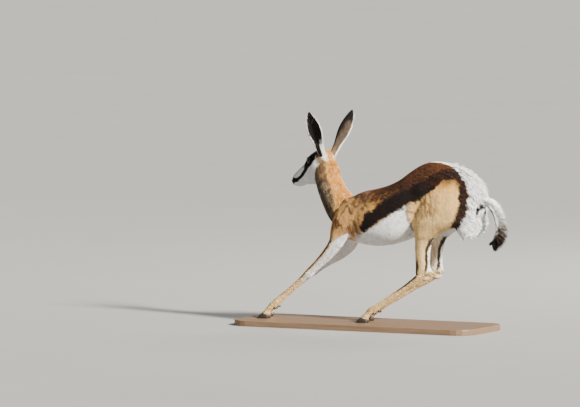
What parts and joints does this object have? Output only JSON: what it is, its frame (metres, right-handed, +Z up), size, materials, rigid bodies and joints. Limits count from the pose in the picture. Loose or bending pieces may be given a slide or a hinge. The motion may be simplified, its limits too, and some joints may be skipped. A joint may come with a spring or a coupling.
{
  "type": "springbok lamb model",
  "caption": "Life-size springbok lamb running with head turned, ears raised and tail held out, its hooves set on a plain flat rounded stand.",
  "frame": {"origin": "middle of the bounding box on the stand's underside", "axes": "the lamb runs towards -X, its left side is -Y, +Z is up"},
  "size_m": [0.8944, 0.28, 0.6715],
  "materials": {
    "tan_coat": "short dense tan and brown hair lying back along the body",
    "white_coat": "long soft white rump hair in overlapping locks",
    "face_coat": "very short white hair with brown stripes",
    "ear_coat": "very short grey-fawn hair, dark inside",
    "leg_coat": "very short close cream-tan hair",
    "tail_coat": "white tail hair turning to a black tuft",
    "hoof": "dark horn, slightly worn",
    "eye": "wet dark brown",
    "stand": "matt paint on board"
  },
  "bodies": {
    "root": {"head": "face_coat", "ear_left": "ear_coat", "ear_right": "ear_coat", "eye_left": "eye", "eye_right": "eye", "neck": "tan_coat", "torso": "tan_coat", "rump": "white_coat", "tail": "tail_coat", "thigh_left": "tan_coat", "thigh_right": "tan_coat", "foreleg_left_upper": "leg_coat", "foreleg_left_lower": "leg_coat", "foreleg_right_upper": "leg_coat", "foreleg_right_lower": "leg_coat", "hindleg_left_upper": "leg_coat", "hindleg_left_lower": "leg_coat", "hindleg_right_upper": "leg_coat", "hindleg_right_lower": "leg_coat", "hoof_fore_left": "hoof", "hoof_fore_right": "hoof", "hoof_hind_left": "hoof", "hoof_hind_right": "hoof", "stand_base": "stand"}
  },
  "joints": []
}
